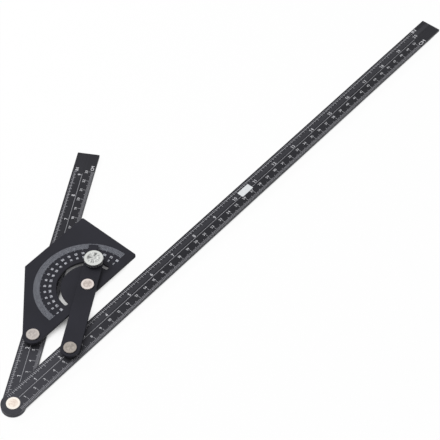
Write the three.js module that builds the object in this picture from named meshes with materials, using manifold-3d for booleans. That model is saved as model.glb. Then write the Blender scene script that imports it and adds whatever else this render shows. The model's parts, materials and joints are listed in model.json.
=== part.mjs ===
// Universal bevel protractor: a long and a short graduated blade hinged at one end, with a riveted
// parallelogram of a dial plate and a link arm above them that reads the angle between the blades.
//
// Millimetres, +Z up. The origin is the middle of the main rivet's tail, on the main hinge axis.
// The long blade lies along +X, and the short blade is turned from it by the rest angle.
import * as THREE from 'three';
import { mergeVertices } from 'three/addons/utils/BufferGeometryUtils.js';
import Module from 'manifold-3d';

const wasm = await Module();
wasm.setup();

// Blades: flat aluminium bars, fully round at the pivot and square at the tip
const long_blade_reach = 530;
const short_blade_reach = 250;
const blade_width = 18.6;
const blade_thickness = 2.2;
const blade_chamfer = 0.25;
const blade_tip_corner = 0.6;

// Parallelogram: each of its four sides is one pivot pitch long
const pivot_pitch = 59.5;
const rest_angle_deg = 31;

// Dial plate, measured from its two pivots: the arm pivot on the short blade and the dial pivot
const plate_thickness = 2;
const plate_arm_radius = 7.8;
const dial_radius = 42.4;
const plate_end_margin = 4.9;
const plate_top_margin = 8.2;
const plate_shoulder_offset = 17.6;
const plate_corner_radius = 2.2;
const plate_shoulder_radius = 1.2;
const plate_chamfer = 0.2;

// Arc slot in the plate, centred on the dial pivot
const slot_radius = 22.7;
const slot_width = 3.3;
const slot_end_angle_deg = 4;

// Link arm, with a reading nose whose straight edge lies on the line through its pivots
const link_width = 14.8;
const link_thickness = 2;
const link_chamfer = 0.2;
const nose_length = 9.4;

// Rivets: a flat head above, a straight shank and a formed tail below
const shank_radius = 3;
const shank_clearance = 0.15;
const head_radius = 5;
const head_height = 1.1;
const main_head_radius = 5.2;
const main_head_height = 0.6;
const head_edge_round = 0.25;
const head_ring_radius = 3.3;
const head_ring_width = 0.35;
const head_ring_depth = 0.12;
const tail_radius = 4.2;
const tail_height = 0.8;
const tail_edge_round = 0.3;

// Loose rings on the rivets: burrs below, thin friction washers between the turning layers, spacers
const burr_radius = 4.8;
const burr_thickness = 0.5;
const friction_washer_thickness = 0.3;
const ring_radius = 5.6;
const plate_lift = 0.4;

// Clamp: a flat headed bolt whose flat sided neck runs in the arc slot, a washer and a thumb knob
const bolt_head_radius = 4;
const bolt_head_height = 1.2;
const bolt_head_round = 0.4;
const bolt_radius = 1.45;
const bolt_neck_length = 3.6;
const bolt_clearance = 0.15;
const clamp_washer_radius = 5;
const clamp_washer_thickness = 0.5;
const knob_radius = 7.6;
const knob_height = 4.6;
const knob_collar_radius = 5.6;
const knob_collar_height = 0.6;
const knob_edge_round = 0.5;
const knob_crown = 0.9;
const knob_dish_inset = 1.6;
const knob_dish_depth = 0.15;
const knurl_depth = 0.35;
const knurl_count = 40;
const bolt_end_gap = 0.4;

// How finely round forms are cut
const round_segments = 32;
const outline_segments = 12;
const cut_overrun = 1;

const quarter_turn = Math.PI / 2;
const half_turn = Math.PI;
const full_turn = Math.PI * 2;
const rest_angle = THREE.MathUtils.degToRad(rest_angle_deg);
const slot_end_angle = THREE.MathUtils.degToRad(slot_end_angle_deg);

// Heights of the stack, from the tail of the main rivet up to the knob
const short_blade_bottom = tail_height + burr_thickness;
const short_blade_top = short_blade_bottom + blade_thickness;
const long_blade_bottom = short_blade_top + friction_washer_thickness;
const long_blade_top = long_blade_bottom + blade_thickness;
const plate_bottom = long_blade_top + plate_lift;
const plate_top = plate_bottom + plate_thickness;
const link_bottom = plate_top + friction_washer_thickness;
const link_top = link_bottom + link_thickness;
const knob_bottom = link_top + clamp_washer_thickness;

const bore_radius = shank_radius + shank_clearance;
const bolt_bore_radius = bolt_radius + bolt_clearance;
const clamp_reach = pivot_pitch + slot_radius;

const black_paint = { color: 0x35353a, roughness: 0.55, metalness: 0.3 };
const dark_anodised = { color: 0x44444a, roughness: 0.6, metalness: 0.4 };
const bright_nickel = { color: 0xe9e1dc, roughness: 0.35, metalness: 0.9 };
const warm_nickel = { color: 0xc9c1bb, roughness: 0.4, metalness: 0.9 };
const white_nylon = { color: 0xdcdad2, roughness: 0.6, metalness: 0 };
const black_nylon = { color: 0x1c1c1e, roughness: 0.6, metalness: 0 };
const plain_steel = { color: 0xa9abad, roughness: 0.4, metalness: 0.9 };
const polished_aluminium = { color: 0xe4e6e6, roughness: 0.25, metalness: 0.9 };

// A closed solid for cutting and joining, from any closed geometry
function toSolid(geometry) {
  const bare = geometry.clone();
  bare.deleteAttribute('normal');
  bare.deleteAttribute('uv');
  const merged = mergeVertices(bare);
  const corners = merged.index.array;
  const kept = [];
  for (let i = 0; i < corners.length; i += 3) {
    const [a, b, c] = corners.slice(i, i + 3);
    if (a !== b && b !== c && c !== a) kept.push(a, b, c);
  }
  return new wasm.Manifold(new wasm.Mesh({
    numProp: 3,
    vertProperties: new Float32Array(merged.attributes.position.array),
    triVerts: new Uint32Array(kept),
  }));
}

// The geometry of a solid
function toGeometry(solid) {
  const mesh = solid.getMesh();
  const geometry = new THREE.BufferGeometry();
  geometry.setAttribute('position', new THREE.BufferAttribute(mesh.vertProperties, 3));
  geometry.setIndex(new THREE.BufferAttribute(mesh.triVerts, 1));
  geometry.computeVertexNormals();
  return geometry;
}

// A solid of revolution about Z from a profile of radius and height pairs
function revolve(profile) {
  const points = profile.map(([radius, height]) => new THREE.Vector2(radius, height));
  return new THREE.LatheGeometry(points, round_segments).rotateX(quarter_turn);
}

// A flat ring with a plain bore
function ring(inner, outer, bottom, thickness) {
  const top = bottom + thickness;
  return revolve([[inner, bottom], [outer, bottom], [outer, top], [inner, top], [inner, bottom]]);
}

// A sheet part cut from an outline, with its top and bottom edges chamfered and its outline kept
function sheet(outline, bottom, thickness, chamfer) {
  const geometry = new THREE.ExtrudeGeometry(outline, {
    depth: thickness - chamfer * 2,
    bevelEnabled: true,
    bevelThickness: chamfer,
    bevelSize: chamfer,
    bevelOffset: -chamfer,
    bevelSegments: 1,
    curveSegments: outline_segments,
  });
  return geometry.translate(0, 0, bottom + chamfer);
}

function addBore(outline, x, radius) {
  const bore = new THREE.Path();
  bore.absarc(x, 0, radius, 0, full_turn, true);
  outline.holes.push(bore);
}

// A blade: round about its pivot, straight sided, with small corners at the square tip
function bladeOutline(reach) {
  const half_width = blade_width / 2;
  const corner_x = reach - blade_tip_corner;
  const corner_y = half_width - blade_tip_corner;
  const outline = new THREE.Shape();
  outline.absarc(0, 0, half_width, quarter_turn, quarter_turn + half_turn, false);
  outline.absarc(corner_x, -corner_y, blade_tip_corner, -quarter_turn, 0, false);
  outline.absarc(corner_x, corner_y, blade_tip_corner, 0, quarter_turn, false);
  addBore(outline, 0, bore_radius);
  addBore(outline, pivot_pitch, bore_radius);
  return outline;
}

function blade(reach, bottom) {
  return sheet(bladeOutline(reach), bottom, blade_thickness, blade_chamfer);
}

// Adds one corner, rounded to a radius, on the way from one outline point to the next
function roundCorner(outline, before, corner, after, radius) {
  const inward = before.clone().sub(corner).normalize();
  const outward = after.clone().sub(corner).normalize();
  const half_angle = inward.angleTo(outward) / 2;
  const to_centre = inward.clone().add(outward).normalize();
  const centre = corner.clone().addScaledVector(to_centre, radius / Math.sin(half_angle));
  const along = radius / Math.tan(half_angle);
  const start = corner.clone().addScaledVector(inward, along).sub(centre);
  const end = corner.clone().addScaledVector(outward, along).sub(centre);
  outline.absarc(centre.x, centre.y, radius, start.angle(), end.angle(), false);
}

// The arc slot, as a hole of even width with round ends, about the dial pivot
function slotPath() {
  const path = new THREE.Path();
  const last_angle = half_turn - slot_end_angle;
  const end_radius = slot_width / 2;
  const outer = slot_radius + end_radius;
  const inner = slot_radius - end_radius;
  const first_x = pivot_pitch + slot_radius * Math.cos(slot_end_angle);
  const last_x = pivot_pitch + slot_radius * Math.cos(last_angle);
  const end_y = slot_radius * Math.sin(slot_end_angle);
  path.absarc(pivot_pitch, 0, outer, slot_end_angle, last_angle, false);
  path.absarc(last_x, end_y, end_radius, last_angle, last_angle + half_turn, false);
  path.absarc(pivot_pitch, 0, inner, last_angle, slot_end_angle, true);
  path.absarc(first_x, end_y, end_radius, slot_end_angle + half_turn, slot_end_angle + full_turn, false);
  return path;
}

// The dial plate: an arm that is round about its pivot and widens, on a slant that leaves the round end
// as a tangent, to the square end that holds the dial
function plateOutline() {
  const end_x = pivot_pitch + dial_radius + plate_end_margin;
  const top_y = dial_radius + plate_top_margin;
  const shoulder = new THREE.Vector2(pivot_pitch - plate_shoulder_offset, top_y);
  const slant = shoulder.angle() - Math.asin(plate_arm_radius / shoulder.length());
  const arm_corner = new THREE.Vector2(-plate_arm_radius / Math.tan(slant / 2), -plate_arm_radius);
  const low_corner = new THREE.Vector2(end_x, -plate_arm_radius);
  const top_corner = new THREE.Vector2(end_x, top_y);
  const corners = [
    [arm_corner, plate_arm_radius],
    [low_corner, plate_corner_radius],
    [top_corner, plate_shoulder_radius],
    [shoulder, plate_shoulder_radius],
  ];
  const outline = new THREE.Shape();
  corners.forEach(([corner, radius], i) => {
    const before = corners[(i + corners.length - 1) % corners.length][0];
    const after = corners[(i + 1) % corners.length][0];
    roundCorner(outline, before, corner, after, radius);
  });
  addBore(outline, 0, bore_radius);
  addBore(outline, pivot_pitch, bore_radius);
  outline.holes.push(slotPath());
  return outline;
}

// The link arm: round about its pivot and about the clamp, with the reading nose going on past the
// clamp on one side of the centre line and ending on an arc about the dial pivot
function linkOutline() {
  const half_width = link_width / 2;
  const nose_radius = slot_radius + half_width + nose_length;
  const nose_angle = Math.asin(half_width / nose_radius);
  const outline = new THREE.Shape();
  outline.absarc(0, 0, half_width, quarter_turn, quarter_turn + half_turn, false);
  outline.absarc(clamp_reach, 0, half_width, -quarter_turn, 0, false);
  outline.absarc(pivot_pitch, 0, nose_radius, 0, nose_angle, false);
  addBore(outline, 0, bore_radius);
  addBore(outline, pivot_pitch, bore_radius);
  addBore(outline, clamp_reach, bolt_bore_radius);
  return outline;
}

// A rivet through a stack that lies between two heights
function rivet(stack_bottom, stack_top, radius, height) {
  const bottom = stack_bottom - tail_height;
  const top = stack_top + height;
  const ring_inner = head_ring_radius - head_ring_width;
  return revolve([
    [0, bottom],
    [tail_radius - tail_edge_round, bottom],
    [tail_radius, bottom + tail_edge_round],
    [tail_radius, stack_bottom],
    [shank_radius, stack_bottom],
    [shank_radius, stack_top],
    [radius, stack_top],
    [radius, top - head_edge_round],
    [radius - head_edge_round, top],
    [head_ring_radius, top],
    [ring_inner, top - head_ring_depth],
    [0, top - head_ring_depth],
  ]);
}

// The clamp bolt, standing on its flat head, with a flat sided neck as wide as its shank
function clampBolt() {
  const bottom = plate_bottom - bolt_head_height;
  const top = knob_bottom + knob_height - knob_crown - bolt_end_gap;
  const turned = revolve([
    [0, bottom],
    [bolt_head_radius - bolt_head_round, bottom],
    [bolt_head_radius, bottom + bolt_head_round],
    [bolt_head_radius, plate_bottom],
    [bolt_radius, plate_bottom],
    [bolt_radius, top],
    [0, top],
  ]);
  const neck_height = plate_thickness + bolt_head_height / 2;
  const neck = new THREE.BoxGeometry(bolt_radius * 2, bolt_neck_length, neck_height);
  neck.translate(0, 0, plate_top - neck_height / 2);
  return toGeometry(toSolid(turned).add(toSolid(neck)));
}

// The thumb knob: a collar, a straight knurled grip and a shallow dished top, bored blind from below
function clampKnob() {
  const top = knob_bottom + knob_height;
  const bore_top = top - knob_crown;
  const grip_bottom = knob_bottom + knob_collar_height;
  const dish_radius = knob_radius - knob_dish_inset;
  const blank = revolve([
    [0, bore_top],
    [bolt_bore_radius, bore_top],
    [bolt_bore_radius, knob_bottom],
    [knob_collar_radius, knob_bottom],
    [knob_collar_radius, grip_bottom],
    [knob_radius - knob_edge_round, grip_bottom],
    [knob_radius, grip_bottom + knob_edge_round],
    [knob_radius, top - knob_edge_round],
    [knob_radius - knob_edge_round, top],
    [dish_radius, top],
    [dish_radius - knob_dish_depth, top - knob_dish_depth],
    [0, top - knob_dish_depth],
  ]);
  const rim = new THREE.Shape();
  const tooth_angle = full_turn / knurl_count;
  for (let i = 0; i < knurl_count; i += 1) {
    const crest = i * tooth_angle;
    const root = crest + tooth_angle / 2;
    const root_radius = knob_radius - knurl_depth;
    const place = i === 0 ? 'moveTo' : 'lineTo';
    rim[place](knob_radius * Math.cos(crest), knob_radius * Math.sin(crest));
    rim.lineTo(root_radius * Math.cos(root), root_radius * Math.sin(root));
  }
  const star_depth = knob_height + cut_overrun * 2;
  const star = new THREE.ExtrudeGeometry(rim, { depth: star_depth, bevelEnabled: false });
  star.translate(0, 0, knob_bottom - cut_overrun);
  return toGeometry(toSolid(blank).intersect(toSolid(star)));
}

function addPiece(group, name, geometry, look) {
  const piece = new THREE.Mesh(geometry, new THREE.MeshStandardMaterial(look));
  piece.name = name;
  group.add(piece);
}

// One riveted pivot: the rivet, its burr below, the friction washer under the turning layer, and a
// spacer below that washer where the layers lie apart
function addPivot(group, name, stack) {
  const { bottom, top, layer_bottom, support_top } = stack;
  const burr_bottom = bottom - burr_thickness;
  const washer_bottom = layer_bottom - friction_washer_thickness;
  const spacer_height = washer_bottom - support_top;
  const pin = rivet(burr_bottom, top, stack.head_radius, stack.head_height);
  const burr = ring(bore_radius, burr_radius, burr_bottom, burr_thickness);
  const washer = ring(bore_radius, ring_radius, washer_bottom, friction_washer_thickness);
  addPiece(group, `${name}_rivet`, pin, stack.look);
  addPiece(group, `${name}_rivet_burr`, burr, plain_steel);
  addPiece(group, `${name}_friction_washer`, washer, white_nylon);
  if (spacer_height > 0) {
    const spacer = ring(bore_radius, ring_radius, support_top, spacer_height);
    addPiece(group, `${name}_spacer`, spacer, black_nylon);
  }
}

// Places a group at a distance along its parent's X, turned about Z
function pivotGroup(parent, x, angle) {
  const group = new THREE.Group();
  group.position.x = x;
  group.rotation.z = angle;
  parent.add(group);
  return group;
}

const protractor = new THREE.Group();
const short_side = pivotGroup(protractor, 0, rest_angle);
const plate_side = pivotGroup(short_side, pivot_pitch, -rest_angle);
const plate_dial = pivotGroup(plate_side, pivot_pitch, 0);
const long_side_pivot = pivotGroup(protractor, pivot_pitch, 0);
const link_side = pivotGroup(long_side_pivot, 0, rest_angle);
const short_side_pivot = pivotGroup(short_side, pivot_pitch, 0);
const clamp = pivotGroup(link_side, clamp_reach, 0);

const low_head = {
  head_radius: main_head_radius,
  head_height: main_head_height,
  look: bright_nickel,
};
const high_head = { head_radius, head_height, look: warm_nickel };

const long_blade = blade(long_blade_reach, long_blade_bottom);
const short_blade = blade(short_blade_reach, short_blade_bottom);
const plate = sheet(plateOutline(), plate_bottom, plate_thickness, plate_chamfer);
const link_arm = sheet(linkOutline(), link_bottom, link_thickness, link_chamfer);
const clamp_washer = ring(bolt_bore_radius, clamp_washer_radius, link_top, clamp_washer_thickness);

addPiece(protractor, 'long_blade', long_blade, dark_anodised);
addPivot(protractor, 'main', {
  bottom: short_blade_bottom,
  top: long_blade_top,
  layer_bottom: long_blade_bottom,
  support_top: short_blade_top,
  ...low_head,
});
addPivot(long_side_pivot, 'link', {
  bottom: long_blade_bottom,
  top: link_top,
  layer_bottom: link_bottom,
  support_top: long_blade_top,
  ...high_head,
});

addPiece(short_side, 'short_blade', short_blade, dark_anodised);
addPivot(short_side_pivot, 'plate', {
  bottom: short_blade_bottom,
  top: plate_top,
  layer_bottom: plate_bottom,
  support_top: short_blade_top,
  ...high_head,
});

addPiece(plate_side, 'protractor_plate', plate, black_paint);
addPivot(plate_dial, 'dial', {
  bottom: plate_bottom,
  top: link_top,
  layer_bottom: link_bottom,
  support_top: plate_top,
  ...high_head,
});

addPiece(link_side, 'link_arm', link_arm, black_paint);
addPiece(clamp, 'clamp_bolt', clampBolt(), plain_steel);
addPiece(clamp, 'clamp_washer', clamp_washer, plain_steel);
addPiece(clamp, 'clamp_knob', clampKnob(), polished_aluminium);

export default protractor;
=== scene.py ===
import json
import math

import bpy
import numpy as np
from mathutils import Matrix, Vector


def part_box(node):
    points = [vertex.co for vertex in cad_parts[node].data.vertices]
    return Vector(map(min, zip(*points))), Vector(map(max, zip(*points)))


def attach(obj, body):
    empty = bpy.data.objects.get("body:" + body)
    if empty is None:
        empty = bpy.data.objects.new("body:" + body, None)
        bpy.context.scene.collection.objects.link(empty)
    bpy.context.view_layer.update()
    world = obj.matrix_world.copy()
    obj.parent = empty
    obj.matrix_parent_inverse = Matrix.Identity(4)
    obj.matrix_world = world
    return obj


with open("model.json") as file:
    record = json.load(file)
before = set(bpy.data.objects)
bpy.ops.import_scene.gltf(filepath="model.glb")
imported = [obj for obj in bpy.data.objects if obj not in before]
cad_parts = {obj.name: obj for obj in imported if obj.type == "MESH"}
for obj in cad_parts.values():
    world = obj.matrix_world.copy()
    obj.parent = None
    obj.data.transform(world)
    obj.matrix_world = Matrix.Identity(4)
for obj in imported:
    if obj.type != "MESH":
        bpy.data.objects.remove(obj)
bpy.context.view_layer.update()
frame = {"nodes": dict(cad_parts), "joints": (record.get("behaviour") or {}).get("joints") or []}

# Sizes are in metres, with MM for the sizes that a maker would give in millimetres.
MM = 0.001
INCH = 25.4 * MM
DEGREE = math.pi / 180

# The plan of the tool: the long blade lies along X, the short one opens away from it.
joint_at = {
    joint["name"]: np.array(joint["pos_m"])
    for joint in frame["joints"]
    if "pos_m" in joint
}
main_pivot = np.zeros(2)
plate_pivot = joint_at["plate_hinge"][:2]
link_pivot = joint_at["link_hinge"][:2]
dial_pivot = plate_pivot + link_pivot
clamp_centre = joint_at["knob_turn"][:2]
opening = math.atan2(plate_pivot[1], plate_pivot[0])

long_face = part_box("long_blade")[1].z
short_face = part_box("short_blade")[1].z
dial_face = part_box("protractor_plate")[1].z
blade_half_width = -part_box("long_blade")[0].y

# The rows of the blades' scales, from a blade's middle line towards its inch side.
inch_tick_out = 8.0 * MM
inch_line = 6.6 * MM
pale_row = 3.4 * MM
inch_number_row = 2.4 * MM
centre_line = 0.35 * MM
cm_number_row = -2.55 * MM
cm_tick_out = -8.9 * MM

# How far along a blade its ruled lines start, and their widths and those of the ticks.
line_start = 6.5 * MM
inch_line_width = 0.22 * MM
centre_line_width = 0.28 * MM
tick_width = 0.25 * MM
bold_tick_width = 0.34 * MM
fine_tick_width = 0.23 * MM

# How high the blades' numbers are, and how far back from its tick each one stands.
inch_number_height = 2.85 * MM
inch_number_back = 0.29 * MM
cm_number_height = 2.0 * MM
cm_number_back = 0.48 * MM


# Prints: thin closed prisms of ink that stand a hair above the sheet

ink_below = 0.01 * MM
ink_above = 0.03 * MM

# A ruled line stands higher than the ticks that it crosses, so that their tops don't fall together.
crossing_ink = 0.04 * MM

# The faces of a prism on four corners, which are numbered round its low end and then its high one.
prism_corners = 8
prism_faces = np.array(
    [[3, 2, 1, 0], [4, 5, 6, 7], [0, 1, 5, 4], [1, 2, 6, 5], [2, 3, 7, 6], [3, 0, 4, 7]]
)

# Letters are worked out 1 tall, and these are shares of that height.
blunt_tip = 0.006
plain_boldness = 0.015
inch_number_boldness = 0.01
cm_number_boldness = 0.005
plain_gap = 0.14
inch_number_gap = 0.38

# How wide letters are drawn, as a share of the typeface's width, and how finely they are rounded.
inch_number_stretch = 0.92
cm_number_stretch = 1.15
dial_number_stretch = 0.62
letter_steps = 3

# A sharp corner of a letter moves out by at most this many times its boldness.
furthest_move = 1.4


def strokes(starts, ends, width, face, ink_top=ink_above):
    """Ruled strokes, of one width or of one each. Each is a flat rectangle carried from its start
    to its end: a corner is start or end, plus or minus half the width across, at the face."""
    along = ends - starts
    across = np.stack([-along[:, 1], along[:, 0]], axis=1)
    across *= (width / 2 / np.linalg.norm(along, axis=1))[:, None]
    outline = np.stack([starts - across, ends - across, ends + across, starts + across], axis=1)
    layers = [
        np.concatenate([outline, np.full(outline.shape[:2] + (1,), height)], axis=2)
        for height in (face - ink_below, face + ink_top)
    ]
    corners = np.concatenate(layers, axis=1).reshape(-1, 3)
    first_corners = prism_corners * np.arange(len(starts))
    quads = (prism_faces[None] + first_corners[:, None, None]).reshape(-1, 4)
    return corners, quads


# The typeface's 1 is a plain bar, so this one with a flag stands in for it, 1 tall like the rest.
flagged_one = (
    np.array(
        [[0.2, 0], [0.34, 0], [0.34, 1], [0.24, 1], [0, 0.83], [0, 0.69], [0.2, 0.82]], dtype=float
    ),
    np.array([[0, 1, 2], [0, 2, 6], [6, 2, 3], [6, 3, 4], [6, 4, 5]]),
)


def typeface_shape(letter):
    """A letter of the built-in typeface: the flat corners of its filled outline, scaled so that it
    is 1 tall with its left edge at zero, and the triangles between them."""
    curve = bpy.data.curves.new("letter", "FONT")
    curve.body = letter
    curve.resolution_u = letter_steps
    holder = bpy.data.objects.new("letter", curve)
    bpy.context.scene.collection.objects.link(holder)
    evaluated = holder.evaluated_get(bpy.context.evaluated_depsgraph_get())
    mesh = bpy.data.meshes.new_from_object(evaluated)
    mesh.calc_loop_triangles()
    corners = np.empty(len(mesh.vertices) * 3)
    mesh.vertices.foreach_get("co", corners)
    triangles = np.empty(len(mesh.loop_triangles) * 3, dtype=int)
    mesh.loop_triangles.foreach_get("vertices", triangles)
    bpy.data.meshes.remove(mesh)
    bpy.data.objects.remove(holder)
    bpy.data.curves.remove(curve)
    corners = corners.reshape(-1, 3)[:, :2]
    low, high = corners.min(axis=0), corners.max(axis=0)
    corners = (corners - low) / (high[1] - low[1])
    # The two corners of a blunt tip would cross over when the letter is thickened, so they are one.
    near = np.linalg.norm(corners[:, None] - corners[None], axis=2) < blunt_tip
    used, triangles = np.unique(near.argmax(axis=1)[triangles], return_inverse=True)
    triangles = triangles.reshape(-1, 3)
    whole = np.all(triangles != triangles[:, [1, 2, 0]], axis=1)
    return corners[used], triangles[whole]


def letter_shape(letter, boldness):
    """A printed letter as a closed prism from 0 to 1 high. Each corner of its outline moves out by
    boldness along the mean of its two sides' normals, and further at a sharp corner, up to the
    furthest move. The letter is then scaled back to be 1 tall with its left edge at zero."""
    corners, triangles = flagged_one if letter == "1" else typeface_shape(letter)
    count = len(corners)
    tails = triangles.reshape(-1)
    tips = triangles[:, [1, 2, 0]].reshape(-1)
    on_outline = ~np.isin(tails * count + tips, tips * count + tails)
    tails, tips = tails[on_outline], tips[on_outline]
    sides = corners[tips] - corners[tails]
    normals = np.stack([sides[:, 1], -sides[:, 0]], axis=1)
    normals /= np.linalg.norm(normals, axis=1)[:, None]
    total = np.zeros_like(corners)
    np.add.at(total, tails, normals)
    np.add.at(total, tips, normals)
    length = np.linalg.norm(total, axis=1)[:, None]
    outline = total / length * np.minimum(2 / length, furthest_move) * boldness + corners
    low, high = outline.min(axis=0), outline.max(axis=0)
    outline = (outline - low) / (high[1] - low[1])
    low_layer = np.column_stack([outline, np.zeros(count)])
    high_layer = np.column_stack([outline, np.ones(count)])
    faces = np.concatenate(
        [
            triangles[:, ::-1],
            triangles + count,
            np.stack([tails, tips, tips + count], axis=1),
            np.stack([tails, tips + count, tails + count], axis=1),
        ]
    )
    return np.concatenate([low_layer, high_layer]), faces


# Each letter's prism, kept once for each boldness.
letter_shapes = {}


def words(entries, height, stretch, face, boldness=plain_boldness, gap=plain_gap):
    """Printed words. Each entry is a word, the place of its middle and the turn of its line. Its
    letters stand side by side with even gaps, and each is scaled to the height, stretched along the
    line, turned and set down on the face."""
    all_corners = []
    all_triangles = []
    count = 0
    for word, place, turn in entries:
        for letter in word:
            if (letter, boldness) not in letter_shapes:
                letter_shapes[letter, boldness] = letter_shape(letter, boldness)
        shapes = [letter_shapes[letter, boldness] for letter in word]
        widths = [shape[:, 0].max() for shape, triangles in shapes]
        step = -(sum(widths) + gap * (len(word) - 1)) / 2
        right = np.array([math.cos(turn), math.sin(turn)]) * height * stretch
        up = np.array([-math.sin(turn), math.cos(turn)]) * height
        for (shape, triangles), width in zip(shapes, widths):
            corners = np.empty_like(shape)
            corners[:, :2] = place + (shape[:, :1] + step) * right + (shape[:, 1:2] - 0.5) * up
            corners[:, 2] = face - ink_below + shape[:, 2] * (ink_below + ink_above)
            all_corners.append(corners)
            all_triangles.append(triangles + count)
            count += len(corners)
            step += width + gap
    return np.concatenate(all_corners), np.concatenate(all_triangles)


def put_in(name, shape, material, body):
    """Makes a piece from its corners and faces, with its object at the origin, that rides on a
    body."""
    mesh = bpy.data.meshes.new(name)
    mesh.from_pydata(shape[0].tolist(), [], shape[1].tolist())
    mesh.materials.append(material)
    piece = bpy.data.objects.new(name, mesh)
    bpy.context.scene.collection.objects.link(piece)
    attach(piece, body)


# Materials


def linear(hex_colour):
    """The linear colour of an sRGB hex colour, by the curve that the sRGB standard gives."""
    levels = np.array([int(hex_colour[i : i + 2], 16) for i in (1, 3, 5)]) / 255
    values = np.where(levels <= 0.04045, levels / 12.92, ((levels + 0.055) / 1.055) ** 2.4)
    return (*values.tolist(), 1.0)


def add(tree, kind, inputs=None, **settings):
    """Adds a node with its settings. Each input is a value or another node's output socket."""
    node = tree.nodes.new(kind)
    for name, value in settings.items():
        setattr(node, name, value)
    for name, value in (inputs or {}).items():
        if isinstance(value, bpy.types.NodeSocket):
            tree.links.new(value, node.inputs[name])
        else:
            node.inputs[name].default_value = value
    return node


# The places of a Mix node's two colours among its inputs, and of their blend among its outputs.
MIX_A = 6
MIX_B = 7
MIX_COLOUR = 2


def new_material(name):
    """An empty node material and its tree."""
    material = bpy.data.materials.new(name)
    material.use_nodes = True
    material.node_tree.nodes.clear()
    return material, material.node_tree


def brush_streaks(tree, lay):
    """Noise drawn out along the blade: the streaks of the brush that finished the metal."""
    # They are 0.1 mm wide on the real one, and are drawn 0.7 mm wide so that they show.
    length = 28 * MM
    width = 0.7 * MM
    streak_place = add(
        tree,
        "ShaderNodeMapping",
        {"Vector": lay, "Scale": (length, width, width)},
        vector_type="TEXTURE",
    ).outputs["Vector"]
    return add(
        tree, "ShaderNodeTexNoise", {"Vector": streak_place, "Scale": 1.0, "Detail": 2.0}
    ).outputs["Fac"]


def uneven_dye(tree, lay, streaks, dye, dye_light):
    """The dye between its two tones. It shows the streaks, and takes unevenly, in soft clouds."""
    cloud_size = 40 * MM
    clouds = add(
        tree, "ShaderNodeTexNoise", {"Vector": lay, "Scale": 1 / cloud_size, "Detail": 2.0}
    ).outputs["Fac"]
    blend = add(tree, "ShaderNodeMath", {0: streaks, 1: clouds}, operation="ADD").outputs[0]
    tone = add(
        tree,
        "ShaderNodeMapRange",
        {"Value": blend, "From Min": 0.7, "From Max": 1.3, "To Min": 0.0, "To Max": 1.0},
    ).outputs["Result"]
    return add(
        tree,
        "ShaderNodeMix",
        {0: tone, MIX_A: linear(dye), MIX_B: linear(dye_light)},
        data_type="RGBA",
    ).outputs[MIX_COLOUR]


def paler_along_row(tree, across, dyed, paler):
    """The dye a little paler along a row between the centre line and the inch ticks, by a share."""
    half_width = 2.1 * MM
    even_half_width = 1.3 * MM
    off_row = add(
        tree,
        "ShaderNodeMath",
        {0: across, 1: pale_row},
        operation="SUBTRACT",
    ).outputs[0]
    off_row = add(tree, "ShaderNodeMath", {0: off_row}, operation="ABSOLUTE").outputs[0]
    along_row = add(
        tree,
        "ShaderNodeMapRange",
        {"Value": off_row, "From Min": half_width, "From Max": even_half_width, "To Max": paler},
        interpolation_type="SMOOTHSTEP",
    ).outputs["Result"]
    return add(
        tree,
        "ShaderNodeMix",
        {0: along_row, MIX_A: dyed, MIX_B: linear("#3c3c41")},
        data_type="RGBA",
    ).outputs[MIX_COLOUR]


def rubbed_at_hinge(tree, along, dyed):
    """The dye painted paler towards the hinge: painted light, which evens out the shade that falls
    on the blades near the hinge.
    """
    reach = 150 * MM
    painted_light_share = add(
        tree,
        "ShaderNodeMapRange",
        {"Value": along, "From Min": reach, "From Max": 0.0, "To Max": 0.7},
        interpolation_type="SMOOTHSTEP",
    ).outputs["Result"]
    return add(
        tree,
        "ShaderNodeMix",
        {0: painted_light_share, MIX_A: dyed, MIX_B: linear("#4c4c52")},
        data_type="RGBA",
    ).outputs[MIX_COLOUR]


def worn_at_edge(tree, lay, across, dyed):
    """The dye worn in nicks about the chamfer, a quarter of a millimetre in from the edge."""
    worn_from = 0.35 * MM
    worn_most = 0.1 * MM
    nick_size = 10 / 3 * MM
    distance = add(tree, "ShaderNodeMath", {0: across}, operation="ABSOLUTE").outputs[0]
    near_edge = add(
        tree,
        "ShaderNodeMapRange",
        {
            "Value": distance,
            "From Min": blade_half_width - worn_from,
            "From Max": blade_half_width - worn_most,
            "To Min": 0.0,
            "To Max": 0.35,
        },
    ).outputs["Result"]
    nicks = add(
        tree, "ShaderNodeTexNoise", {"Vector": lay, "Scale": 1 / nick_size, "Detail": 3.0}
    ).outputs["Fac"]
    wear = add(tree, "ShaderNodeMath", {0: near_edge, 1: nicks}, operation="MULTIPLY").outputs[0]
    return add(
        tree,
        "ShaderNodeMix",
        {0: wear, MIX_A: dyed, MIX_B: linear("#8f9092")},
        data_type="RGBA",
    ).outputs[MIX_COLOUR]


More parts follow.
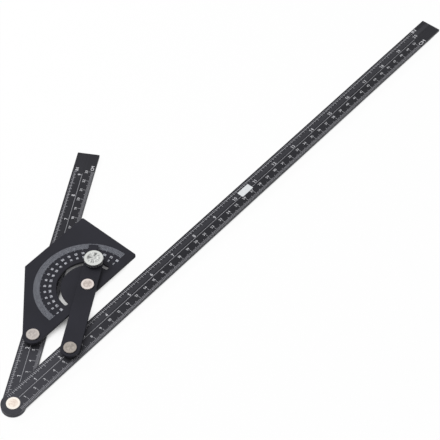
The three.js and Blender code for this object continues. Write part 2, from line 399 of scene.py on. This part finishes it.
def anodised_blade(name, turn, dye, dye_light, paler):
    """Dark anodised aluminium, brushed along the blade before it was dyed. The eye sees a satin
    near-black metal with fine long streaks, and a paler line where the edges have worn. Towards the
    hinge it is painted paler, as painted light."""
    streak_depth = 0.01 * MM
    material, tree = new_material(name)
    place = add(tree, "ShaderNodeTexCoord").outputs["Object"]
    lay = add(
        tree,
        "ShaderNodeMapping",
        {"Vector": place, "Rotation": (0, 0, turn)},
        vector_type="TEXTURE",
    ).outputs["Vector"]
    streaks = brush_streaks(tree, lay)
    colour = uneven_dye(tree, lay, streaks, dye, dye_light)
    parts = add(tree, "ShaderNodeSeparateXYZ", {"Vector": lay})
    colour = paler_along_row(tree, parts.outputs["Y"], colour, paler)
    # Painted light: the dye is made paler towards the hinge.
    colour = rubbed_at_hinge(tree, parts.outputs["X"], colour)
    colour = worn_at_edge(tree, lay, parts.outputs["Y"], colour)
    roughness = add(
        tree,
        "ShaderNodeMapRange",
        {"Value": streaks, "From Min": 0.3, "From Max": 0.7, "To Min": 0.4, "To Max": 0.54},
    ).outputs["Result"]
    bump = add(
        tree,
        "ShaderNodeBump",
        {"Height": streaks, "Strength": 0.25, "Distance": streak_depth},
    ).outputs["Normal"]
    shader = add(
        tree,
        "ShaderNodeBsdfPrincipled",
        {
            "Base Color": colour,
            "Metallic": 0.55,
            "Roughness": roughness,
            "Normal": bump,
            "Specular IOR Level": 0.25,
        },
    ).outputs["BSDF"]
    add(tree, "ShaderNodeOutputMaterial", {"Surface": shader})
    return material


def coated_sheet(name):
    """Aluminium sheet under a fine semi-matt black coat, sprayed and baked. The eye sees near
    black with a faint grain that catches the light, and slow changes of depth."""
    grain_size = 0.6 * MM
    grain_depth = 0.015 * MM
    cloud_size = 25 * MM
    material, tree = new_material(name)
    place = add(tree, "ShaderNodeTexCoord").outputs["Object"]
    # The coat's grain is 0.2 mm. It is drawn 0.6 mm wide so that it shows.
    grain = add(
        tree, "ShaderNodeTexNoise", {"Vector": place, "Scale": 1 / grain_size, "Detail": 2.0}
    ).outputs["Fac"]
    clouds = add(
        tree, "ShaderNodeTexNoise", {"Vector": place, "Scale": 1 / cloud_size, "Detail": 3.0}
    ).outputs["Fac"]
    blend = add(tree, "ShaderNodeMath", {0: grain, 1: clouds}, operation="ADD").outputs[0]
    tone = add(
        tree,
        "ShaderNodeMapRange",
        {"Value": blend, "From Min": 0.7, "From Max": 1.3, "To Min": 0.0, "To Max": 1.0},
    ).outputs["Result"]
    colour = add(
        tree,
        "ShaderNodeMix",
        {0: tone, MIX_A: linear("#26262c"), MIX_B: linear("#2e2e35")},
        data_type="RGBA",
    ).outputs[MIX_COLOUR]
    roughness = add(
        tree,
        "ShaderNodeMapRange",
        {"Value": grain, "From Min": 0.3, "From Max": 0.7, "To Min": 0.46, "To Max": 0.6},
    ).outputs["Result"]
    bump = add(
        tree, "ShaderNodeBump", {"Height": grain, "Strength": 0.35, "Distance": grain_depth}
    ).outputs["Normal"]
    shader = add(
        tree,
        "ShaderNodeBsdfPrincipled",
        {
            "Base Color": colour,
            "Roughness": roughness,
            "Normal": bump,
            "Specular IOR Level": 0.15,
        },
    ).outputs["BSDF"]
    add(tree, "ShaderNodeOutputMaterial", {"Surface": shader})
    return material


def lathe_rings(tree, radius, height):
    """Noise that is the same all round: the marks that a lathe's tool leaves."""
    # They are 0.1 mm apart on the real one, and are drawn 0.45 mm apart so that they show.
    ring_width = 0.45 * MM
    round_place = add(tree, "ShaderNodeCombineXYZ", {"X": radius, "Z": height}).outputs["Vector"]
    return add(
        tree,
        "ShaderNodeTexNoise",
        {"Vector": round_place, "Scale": 1 / ring_width, "Detail": 2.0},
    ).outputs["Fac"]


def outward_streaks(tree, flat, turn):
    """Noise that is the same all the way out from the middle, turned about it: the pattern of the
    painted reflection streaks.
    """
    streaks_across = 2.4
    outward = add(
        tree, "ShaderNodeVectorMath", {0: flat}, operation="NORMALIZE"
    ).outputs["Vector"]
    outward = add(
        tree, "ShaderNodeMapping", {"Vector": outward, "Rotation": (0, 0, turn)}
    ).outputs["Vector"]
    return add(
        tree, "ShaderNodeTexNoise", {"Vector": outward, "Scale": streaks_across, "Detail": 2.0}
    ).outputs["Fac"]


def spotted_face(tree, rings, spots, tones):
    """The face between its two tones, by the spots and more faintly by the rings."""
    ring_weight = 0.5
    spot_weight = 1.5
    faint_rings = add(
        tree, "ShaderNodeMath", {0: rings, 1: ring_weight}, operation="MULTIPLY"
    ).outputs[0]
    blend = add(
        tree, "ShaderNodeMath", {0: spots, 1: spot_weight, 2: faint_rings}, operation="MULTIPLY_ADD"
    ).outputs[0]
    tone = add(
        tree, "ShaderNodeMapRange", {"Value": blend, "From Min": 0.8, "From Max": 1.2}
    ).outputs["Result"]
    return add(
        tree,
        "ShaderNodeMix",
        {0: tone, MIX_A: linear(tones[0]), MIX_B: linear(tones[1])},
        data_type="RGBA",
    ).outputs[MIX_COLOUR]


def streaked_face(tree, face, streaks, radius, finish):
    """The face with painted reflection streaks in a darker tone, which fade in from its middle."""
    fade_in_share = 0.6
    strength = add(
        tree,
        "ShaderNodeMapRange",
        {
            "Value": radius,
            "From Max": finish["rim_from"] * fade_in_share,
            "To Max": finish["reflection_streak_strength"],
        },
        interpolation_type="SMOOTHSTEP",
    ).outputs["Result"]
    reflection_streak_share = add(
        tree,
        "ShaderNodeMapRange",
        {"Value": streaks, "From Min": 0.54, "From Max": 0.38, "To Max": strength},
        interpolation_type="SMOOTHSTEP",
    ).outputs["Result"]
    # Painted reflection: the streaks darken the face towards their own tone.
    return add(
        tree,
        "ShaderNodeMix",
        {0: reflection_streak_share, MIX_A: face, MIX_B: linear(finish["reflection_streak_colour"])},
        data_type="RGBA",
    ).outputs[MIX_COLOUR]


def rimmed_face(tree, face, radius, finish):
    """The face with a painted highlight round its outer edge, in its own tone, which comes in
    between two radii.
    """
    at_rim = add(
        tree,
        "ShaderNodeMapRange",
        {"Value": radius, "From Min": finish["rim_from"], "From Max": finish["rim_at"]},
        interpolation_type="SMOOTHSTEP",
    ).outputs["Result"]
    # Painted highlight: the face turns to its own tone towards its outer edge.
    return add(
        tree,
        "ShaderNodeMix",
        {0: at_rim, MIX_A: face, MIX_B: linear(finish["rim"])},
        data_type="RGBA",
    ).outputs[MIX_COLOUR]


def turned_metal(name, centre, finish):
    """Metal turned on a lathe, or struck and then plated. The eye sees fine rings on a face of
    uneven tone, a painted highlight that makes its outer edge bright, and faint painted reflection
    streaks that run out from its middle."""
    ring_depth = 0.01 * MM
    spot_size = 1.6 * MM
    roughness_spread = 0.13
    material, tree = new_material(name)
    place = add(tree, "ShaderNodeTexCoord").outputs["Object"]
    centred = add(
        tree, "ShaderNodeMapping", {"Vector": place, "Location": (-centre[0], -centre[1], 0)}
    ).outputs["Vector"]
    parts = add(tree, "ShaderNodeSeparateXYZ", {"Vector": centred})
    flat = add(
        tree, "ShaderNodeCombineXYZ", {"X": parts.outputs["X"], "Y": parts.outputs["Y"]}
    ).outputs["Vector"]
    radius = add(
        tree, "ShaderNodeVectorMath", {0: flat}, operation="LENGTH"
    ).outputs["Value"]
    rings = lathe_rings(tree, radius, parts.outputs["Z"])
    # Handling and the plating leave the metal a little uneven, over spots of a millimetre or two.
    spots = add(
        tree, "ShaderNodeTexNoise", {"Vector": centred, "Scale": 1 / spot_size, "Detail": 3.0}
    ).outputs["Fac"]
    # The painted reflection streaks, turned about the middle.
    streaks = outward_streaks(tree, flat, finish["turn"])
    colour = spotted_face(tree, rings, spots, finish["face"])
    colour = streaked_face(tree, colour, streaks, radius, finish)
    # Painted highlight round the outer edge of the face.
    colour = rimmed_face(tree, colour, radius, finish)
    roughness = add(
        tree,
        "ShaderNodeMapRange",
        {
            "Value": spots,
            "From Min": 0.3,
            "From Max": 0.7,
            "To Min": finish["smooth"],
            "To Max": finish["smooth"] + roughness_spread,
        },
    ).outputs["Result"]
    bump = add(
        tree, "ShaderNodeBump", {"Height": rings, "Strength": 0.3, "Distance": ring_depth}
    ).outputs["Normal"]
    shader = add(
        tree,
        "ShaderNodeBsdfPrincipled",
        {"Base Color": colour, "Metallic": 1.0, "Roughness": roughness, "Normal": bump},
    ).outputs["BSDF"]
    add(tree, "ShaderNodeOutputMaterial", {"Surface": shader})
    return material


def moulded_nylon(name, colours):
    """Nylon washer, moulded. The eye sees a soft waxy sheen with a faint mottle."""
    mottle_size = 0.8 * MM
    mottle_depth = 0.01 * MM
    material, tree = new_material(name)
    place = add(tree, "ShaderNodeTexCoord").outputs["Object"]
    # The resin sets a little unevenly in the mould, over somewhat less than a millimetre.
    mottle = add(
        tree, "ShaderNodeTexNoise", {"Vector": place, "Scale": 1 / mottle_size, "Detail": 3.0}
    ).outputs["Fac"]
    colour = add(
        tree,
        "ShaderNodeMix",
        {0: mottle, MIX_A: linear(colours[0]), MIX_B: linear(colours[1])},
        data_type="RGBA",
    ).outputs[MIX_COLOUR]
    rough = add(
        tree,
        "ShaderNodeMapRange",
        {"Value": mottle, "From Min": 0.3, "From Max": 0.7, "To Min": 0.42, "To Max": 0.56},
    ).outputs["Result"]
    bump = add(
        tree, "ShaderNodeBump", {"Height": mottle, "Strength": 0.3, "Distance": mottle_depth}
    ).outputs["Normal"]
    shader = add(
        tree,
        "ShaderNodeBsdfPrincipled",
        {
            "Base Color": colour,
            "Roughness": rough,
            "Normal": bump,
            "IOR": 1.53,
            "Specular IOR Level": 0.4,
        },
    ).outputs["BSDF"]
    add(tree, "ShaderNodeOutputMaterial", {"Surface": shader})
    return material


def pale_print(name, colours, patch_size):
    """Pale matt ink, screen printed, or the vinyl of a label. The eye sees an even tone that is a
    little thin in places."""
    material, tree = new_material(name)
    place = add(tree, "ShaderNodeTexCoord").outputs["Object"]
    patches = add(
        tree, "ShaderNodeTexNoise", {"Vector": place, "Scale": 1 / patch_size, "Detail": 3.0}
    ).outputs["Fac"]
    tone = add(
        tree,
        "ShaderNodeMapRange",
        {"Value": patches, "From Min": 0.35, "From Max": 0.65, "To Min": 0.0, "To Max": 1.0},
    ).outputs["Result"]
    colour = add(
        tree,
        "ShaderNodeMix",
        {0: tone, MIX_A: linear(colours[0]), MIX_B: linear(colours[1])},
        data_type="RGBA",
    ).outputs[MIX_COLOUR]
    rough = add(
        tree,
        "ShaderNodeMapRange",
        {"Value": patches, "From Min": 0.3, "From Max": 0.7, "To Min": 0.55, "To Max": 0.68},
    ).outputs["Result"]
    shader = add(
        tree,
        "ShaderNodeBsdfPrincipled",
        {"Base Color": colour, "Roughness": rough, "Specular IOR Level": 0.3},
    ).outputs["BSDF"]
    add(tree, "ShaderNodeOutputMaterial", {"Surface": shader})
    return material


blade_finishes = {
    "long_blade": anodised_blade(
        "anodised aluminium long blade", 0.0, dye="#252529", dye_light="#2f2f34", paler=0.9
    ),
    "short_blade": anodised_blade(
        "anodised aluminium short blade", opening, dye="#2a2a2e", dye_light="#35353a", paler=0.1
    ),
}
sheet_finish = coated_sheet("black coated sheet")


# A turned metal's finish: the two tones of its face, the tone of the painted highlight round its
# outer edge and that of its painted reflection streaks, how strong the streaks are and how far
# round they are turned, the radii between which the painted highlight comes in, and its least
# roughness.


def rivet_finish(dark, light, rim):
    """The finish of a rivet's head, from its face's two tones and the tone of the painted highlight
    round its outer edge.
    """
    return {
        "face": (dark, light),
        "rim": rim,
        "reflection_streak_colour": dark,
        "reflection_streak_strength": 0.45,
        "turn": 0.0,
        "rim_from": 2.9 * MM,
        "rim_at": 3.9 * MM,
        "smooth": 0.42,
    }


# All four heads share one nickel plate, and each is given its own lighter or darker tones: painted
# light and shade.
rivet_heads_with_painted_light = {
    "main_rivet": (main_pivot, rivet_finish("#eadacd", "#fff5ea", "#fff8ef")),
    "plate_rivet": (plate_pivot, rivet_finish("#afa8a4", "#d2cbc6", "#cbc4bf")),
    "link_rivet": (link_pivot, rivet_finish("#9b948d", "#c1b9b1", "#b0a8a1")),
    "dial_rivet": (dial_pivot, rivet_finish("#c0b4ad", "#e4d8d1", "#e8ded9")),
}
# Zinc plate: its outer edge tone is a painted highlight, and its streaks are painted reflections.
zinc_finish = {
    "face": ("#9b9da0", "#b3b5b7"),
    "rim": "#b9bbbd",
    "reflection_streak_colour": "#8d8f92",
    "reflection_streak_strength": 0.35,
    "turn": 0.0,
    "rim_from": 3.4 * MM,
    "rim_at": 4.4 * MM,
    "smooth": 0.35,
}
# The knob's dark streaks are painted reflections of its turned face, and its outer edge tone is a
# painted highlight.
knob_finish = {
    "face": ("#b6b7b6", "#eceeeb"),
    "rim": "#dcdedb",
    "reflection_streak_colour": "#4c4d4d",
    "reflection_streak_strength": 0.8,
    "turn": -120 * DEGREE,
    "rim_from": 4.6 * MM,
    "rim_at": 5.8 * MM,
    "smooth": 0.24,
}

finishes = dict(blade_finishes)
for rivet, (centre, finish) in rivet_heads_with_painted_light.items():
    finishes[rivet] = turned_metal("nickel plated " + rivet, centre, finish)
    finishes[rivet + "_burr"] = turned_metal(
        "zinc plated steel " + rivet + " burr", centre, zinc_finish
    )
for part in ("clamp_bolt", "clamp_washer"):
    finishes[part] = turned_metal("zinc plated steel " + part, clamp_centre, zinc_finish)
finishes["clamp_knob"] = turned_metal("turned aluminium knob", clamp_centre, knob_finish)
for part in ("protractor_plate", "link_arm"):
    finishes[part] = sheet_finish
white_nylon = moulded_nylon("white nylon", ("#d6d4cc", "#e2e0d8"))
black_nylon = moulded_nylon("black nylon", ("#37373b", "#45454a"))
for part in ("main", "plate", "link", "dial"):
    finishes[part + "_friction_washer"] = white_nylon
for part in ("plate_spacer", "link_spacer"):
    finishes[part] = black_nylon

for name, node in frame["nodes"].items():
    for place in node.material_slots:
        place.material = finishes[name]

# The sizes of the patches in which the ink is thinner, and the label's white a little darker.
ink_patch = 1.5 * MM
label_patch = 3 * MM
ink = pale_print("pale grey screen print", ("#a8a8ae", "#bababf"), ink_patch)
number_ink = pale_print("white screen print", ("#d2d2d6", "#e6e6ea"), ink_patch)
dial_ink = pale_print("blue grey screen print", ("#93969f", "#a5a8b1"), ink_patch)
dial_number_ink = pale_print("blue white screen print", ("#dcdee8", "#eef0f8"), ink_patch)
label_paper = pale_print("white vinyl label", ("#e6e9ec", "#eef1f3"), label_patch)


# Scales on the blades

# Each blade: the turn of its line, the height of its face, the last numbers of its two scales,
# where its ruled lines end, how much further back its last inch number stands than the others,
# and the places of the names of its units along and across it, their height and their stretch.
blades = {
    "long_blade": {
        "turn": 0.0,
        "face": long_face,
        "inches": 20,
        "centimetres": 50,
        "line_end": 504 * MM,
        "last_inch_back": 0.0,
        "cm_name": (505.5 * MM, -6.9 * MM),
        "inch_name": (512.5 * MM, 7.2 * MM),
        "name_height": 3.0 * MM,
        "name_stretch": 1.35,
    },
    "short_blade": {
        "turn": opening,
        "face": short_face,
        "inches": 9,
        "centimetres": 23,
        "line_end": 227 * MM,
        "last_inch_back": 2.5 * MM,
        "cm_name": (234 * MM, -6.8 * MM),
        "inch_name": (231.5 * MM, 5.8 * MM),
        "name_height": 2.6 * MM,
        "name_stretch": 1.0,
    },
}

# How far a tick reaches in, for each part of the unit that it marks: an inch's ticks from the inch
# line, and a centimetre's from their own outer ends.
inch_reach = {16: 0.6 * MM, 8: 1.1 * MM, 4: 1.4 * MM, 2: 2.1 * MM, 1: 1.4 * MM}
cm_reach = {10: 2.4 * MM, 2: 3.3 * MM, 1: 4.8 * MM}
inch_parts = max(inch_reach)
cm_parts = max(cm_reach)


def on_blade(blade, u, v):
    """Places on the tool's plan: u steps along a blade's own line from its pivot, and v steps
    across it towards its inch side."""
    u, v = np.broadcast_arrays(np.asarray(u, dtype=float), np.asarray(v, dtype=float))
    turn = blade["turn"]
    return np.stack(
        [u * math.cos(turn) - v * math.sin(turn), u * math.sin(turn) + v * math.cos(turn)], axis=-1
    )


def reach_of(steps, reach):
    """The reach of each tick: that of the coarsest part of the unit that its step falls on."""
    parts = max(reach)
    found = np.full(steps.shape, reach[parts])
    for part in sorted(reach, reverse=True):
        found[steps % (parts // part) == 0] = reach[part]
    return found


def print_ticks(name, blade):
    """Prints the ticks of both scales. Every other sixteenth of an inch has a bolder one."""
    steps = np.arange(1, inch_parts * blade["inches"] + 1)
    u = steps * INCH / inch_parts
    inner_ends = inch_line - reach_of(steps, inch_reach)
    widths = np.where(steps % 2 == 0, bold_tick_width, fine_tick_width)
    ticks = strokes(
        on_blade(blade, u, inch_tick_out), on_blade(blade, u, inner_ends), widths, blade["face"]
    )
    put_in(name + "_inch_ticks", ticks, ink, name)
    steps = np.arange(1, cm_parts * blade["centimetres"] + 1)
    u = steps * MM
    inner_ends = cm_tick_out + reach_of(steps, cm_reach)
    ticks = strokes(
        on_blade(blade, u, cm_tick_out), on_blade(blade, u, inner_ends), tick_width, blade["face"]
    )
    put_in(name + "_cm_ticks", ticks, ink, name)


def print_lines(name, blade):
    """Prints the inch line and the centre line."""
    rows = np.array([inch_line, centre_line])
    lines = strokes(
        on_blade(blade, line_start, rows),
        on_blade(blade, blade["line_end"], rows),
        np.array([inch_line_width, centre_line_width]),
        blade["face"],
        crossing_ink,
    )
    put_in(name + "_lines", lines, ink, name)


def print_numbers(name, blade):
    """Prints the numbers of both scales, each a little back from its tick."""
    turn = blade["turn"]
    places = np.arange(1, blade["inches"] + 1) * INCH - inch_number_back
    places[-1] -= blade["last_inch_back"]
    row = [
        (str(number), on_blade(blade, place, inch_number_row), turn)
        for number, place in enumerate(places, start=1)
    ]
    numbers = words(
        row,
        inch_number_height,
        inch_number_stretch,
        blade["face"],
        inch_number_boldness,
        inch_number_gap,
    )
    put_in(name + "_inch_numbers", numbers, number_ink, name)
    places = np.arange(1, blade["centimetres"] + 1) * cm_parts * MM - cm_number_back
    row = [
        (str(number), on_blade(blade, place, cm_number_row), turn)
        for number, place in enumerate(places, start=1)
    ]
    numbers = words(row, cm_number_height, cm_number_stretch, blade["face"], cm_number_boldness)
    put_in(name + "_cm_numbers", numbers, number_ink, name)


def print_unit_names(name, blade):
    """Prints the names of both units near the blade's tip."""
    turn = blade["turn"]
    row = [
        ("CM", on_blade(blade, *blade["cm_name"]), turn),
        ("IN", on_blade(blade, *blade["inch_name"]), turn),
    ]
    names = words(row, blade["name_height"], blade["name_stretch"], blade["face"])
    put_in(name + "_unit_names", names, number_ink, name)


for name, blade in blades.items():
    print_ticks(name, blade)
    print_lines(name, blade)
    print_numbers(name, blade)
for name, blade in blades.items():
    print_unit_names(name, blade)


# The dial's marks, by their radii about its pivot

degree_out = 41.9 * MM
outer_numbers = 33.05 * MM
inner_numbers = 29.05 * MM
dial_number_height = 2.0 * MM

# Where the marks of every degree, of every fifth and of every tenth end inside.
degree_in = {1: 37.0 * MM, 5: 36.6 * MM, 10: 36.0 * MM}

# Angles in degrees: the dial's whole, the turn that sets a number upright, and a number's step.
half_circle = 180
upright = 90
number_step = 10


def on_dial(radius, angle):
    """Places on the dial: radius steps out from its pivot, turned by the angle from X."""
    return dial_pivot + np.stack([radius * np.cos(angle), radius * np.sin(angle)], axis=-1)


degrees = np.arange(0, half_circle + 1)
inner_ends = np.empty(degrees.shape)
for every, radius in degree_in.items():
    inner_ends[degrees % every == 0] = radius
put_in(
    "dial_degree_ticks",
    strokes(
        on_dial(degree_out, degrees * DEGREE),
        on_dial(inner_ends, degrees * DEGREE),
        tick_width,
        dial_face,
    ),
    dial_ink,
    "dial_plate",
)
for row_name, radius, flipped in (
    ("dial_outer_numbers", outer_numbers, True),
    ("dial_inner_numbers", inner_numbers, False),
):
    row = [
        (
            str(half_circle - angle if flipped else angle),
            on_dial(radius, np.array(angle * DEGREE)),
            (angle - upright) * DEGREE,
        )
        for angle in range(0, half_circle + 1, number_step)
    ]
    put_in(
        row_name,
        words(row, dial_number_height, dial_number_stretch, dial_face),
        dial_number_ink,
        "dial_plate",
    )


# The bare label on the long blade, by its two far corners

label_low = np.array([259.7, -1.0]) * MM
label_high = np.array([273.0, 4.9]) * MM
label_corner = 0.6 * MM
label_thickness = 0.08 * MM
label_points = 24


def label_shape(face):
    """A label with rounded corners: points round a circle of a corner's radius, each moved out to
    the corner of its own quarter, at the face and at the label's thickness, closed above and below
    by a fan about the middle."""
    angle = np.linspace(0, 2 * math.pi, label_points, endpoint=False) + math.pi / label_points
    middle = (label_low + label_high) / 2
    half = (label_high - label_low) / 2 - label_corner
    round_part = np.stack([np.cos(angle), np.sin(angle)], axis=1)
    outline = middle + np.sign(round_part) * half + label_corner * round_part
    count = len(outline)
    top = face + label_thickness
    low = np.column_stack([outline, np.full(count, face - ink_below)])
    high = np.column_stack([outline, np.full(count, top)])
    ends = np.array([[*middle, face - ink_below], [*middle, top]])
    here = np.arange(count)
    there = (here + 1) % count
    faces = np.concatenate(
        [
            np.stack([here, there, there + count], axis=1),
            np.stack([here, there + count, here + count], axis=1),
            np.stack([there, here, np.full(count, 2 * count)], axis=1),
            np.stack([here + count, there + count, np.full(count, 2 * count + 1)], axis=1),
        ]
    )
    return np.concatenate([low, high, ends]), faces


put_in("long_blade_label", label_shape(long_face), label_paper, "long_blade")


# Floor, light and camera

background = "#ffffff"
tool_middle = np.array([200, 30, 0]) * MM
floor_half = 3.0
floor_level = -0.02 * MM
shade_reach = 30 * MM


def shown_rays(tree):
    """1 where a ray comes from the camera, from a reflection or through something clear."""
    rays = add(tree, "ShaderNodeLightPath")
    seen = add(
        tree,
        "ShaderNodeMath",
        {0: rays.outputs["Is Camera Ray"], 1: rays.outputs["Is Glossy Ray"]},
        operation="MAXIMUM",
    ).outputs[0]
    return add(
        tree,
        "ShaderNodeMath",
        {0: seen, 1: rays.outputs["Is Transmission Ray"]},
        operation="MAXIMUM",
    ).outputs[0]


def make_floor():
    """A plain white floor, a hair below the tool. It keeps its shade where little sky is in sight,
    under the tool, and for shown rays a glow makes most of the open floor's shade white."""
    material, tree = new_material("white floor")
    paper = add(tree, "ShaderNodeBsdfDiffuse", {"Color": linear("#f4f4f4")}).outputs["BSDF"]
    glow = add(tree, "ShaderNodeEmission", {"Color": linear(background)}).outputs["Emission"]
    sky = add(tree, "ShaderNodeAmbientOcclusion", {"Distance": shade_reach}).outputs["AO"]
    in_the_open = add(
        tree,
        "ShaderNodeMapRange",
        {"Value": sky, "From Min": 0.08, "From Max": 0.36, "To Max": 0.97},
    ).outputs["Result"]
    share = add(
        tree, "ShaderNodeMath", {0: shown_rays(tree), 1: in_the_open}, operation="MULTIPLY"
    ).outputs[0]
    both = add(tree, "ShaderNodeMixShader", {0: share, 1: paper, 2: glow}).outputs["Shader"]
    add(tree, "ShaderNodeOutputMaterial", {"Surface": both})
    corners = [
        (-floor_half, -floor_half, floor_level),
        (floor_half, -floor_half, floor_level),
        (floor_half, floor_half, floor_level),
        (-floor_half, floor_half, floor_level),
    ]
    mesh = bpy.data.meshes.new("floor")
    mesh.from_pydata(corners, [], [(0, 1, 2, 3)])
    mesh.materials.append(material)
    floor = bpy.data.objects.new("floor", mesh)
    bpy.context.scene.collection.objects.link(floor)


def make_world():
    """White all round for the camera and for reflections, and half of that as soft light."""
    world = bpy.data.worlds.new("white studio")
    bpy.context.scene.world = world
    world.use_nodes = True
    tree = world.node_tree
    tree.nodes.clear()
    strength = add(
        tree,
        "ShaderNodeMapRange",
        {"Value": shown_rays(tree), "To Min": 0.5, "To Max": 1.0},
    ).outputs["Result"]
    sky = add(
        tree, "ShaderNodeBackground", {"Color": linear(background), "Strength": strength}
    )
    add(tree, "ShaderNodeOutputWorld", {"Surface": sky.outputs["Background"]})


def set_axes(holder, away, roll=0.0):
    """Turns a lamp or camera so that it looks against away, with X level and then rolled."""
    level = np.cross([0, 0, 1], away)
    level /= np.linalg.norm(level)
    steep = np.cross(away, level)
    matrix = np.eye(4)
    matrix[:3, 0] = math.cos(roll) * level + math.sin(roll) * steep
    matrix[:3, 1] = -math.sin(roll) * level + math.cos(roll) * steep
    matrix[:3, 2] = away
    matrix[:3, 3] = holder.location
    holder.matrix_world = Matrix(matrix.tolist())


def make_lamp(name, direction, distance, size, power):
    """A square soft lamp that stands off in a direction and faces the middle of the tool. Metal
    doesn't mirror it, so that its own colour shows."""
    lamp = bpy.data.lights.new(name, "AREA")
    lamp.shape = "SQUARE"
    lamp.size = size
    lamp.energy = power
    holder = bpy.data.objects.new(name, lamp)
    bpy.context.scene.collection.objects.link(holder)
    away = direction / np.linalg.norm(direction)
    holder.location = tool_middle + away * distance
    holder.visible_glossy = False
    set_axes(holder, away)


make_floor()
make_world()
make_lamp(
    "key lamp", direction=np.array([-0.25, 0.75, 0.8]), distance=1.2, size=0.5, power=9.0
)

# The camera was found from the printed scales: a long lens, 50 degrees above the tool.
camera_target = np.array([232.8, 0.53, 0]) * MM
camera_distance = 1131.141 * MM
camera_azimuth = -50.4606 * DEGREE
camera_height = 50.3715 * DEGREE
camera_roll = 0.80725 * DEGREE
camera = bpy.data.objects.new("camera", bpy.data.cameras.new("camera"))
bpy.context.scene.collection.objects.link(camera)
camera.data.sensor_width = 36.0
camera.data.lens = 114.44
camera.data.clip_start = 0.05
camera.data.clip_end = 20.0
away = np.array(
    [
        math.sin(camera_azimuth) * math.cos(camera_height),
        -math.cos(camera_azimuth) * math.cos(camera_height),
        math.sin(camera_height),
    ]
)
camera.location = camera_target + away * camera_distance
set_axes(camera, away, camera_roll)
bpy.context.scene.camera = camera
bpy.context.scene.view_settings.view_transform = "Standard"
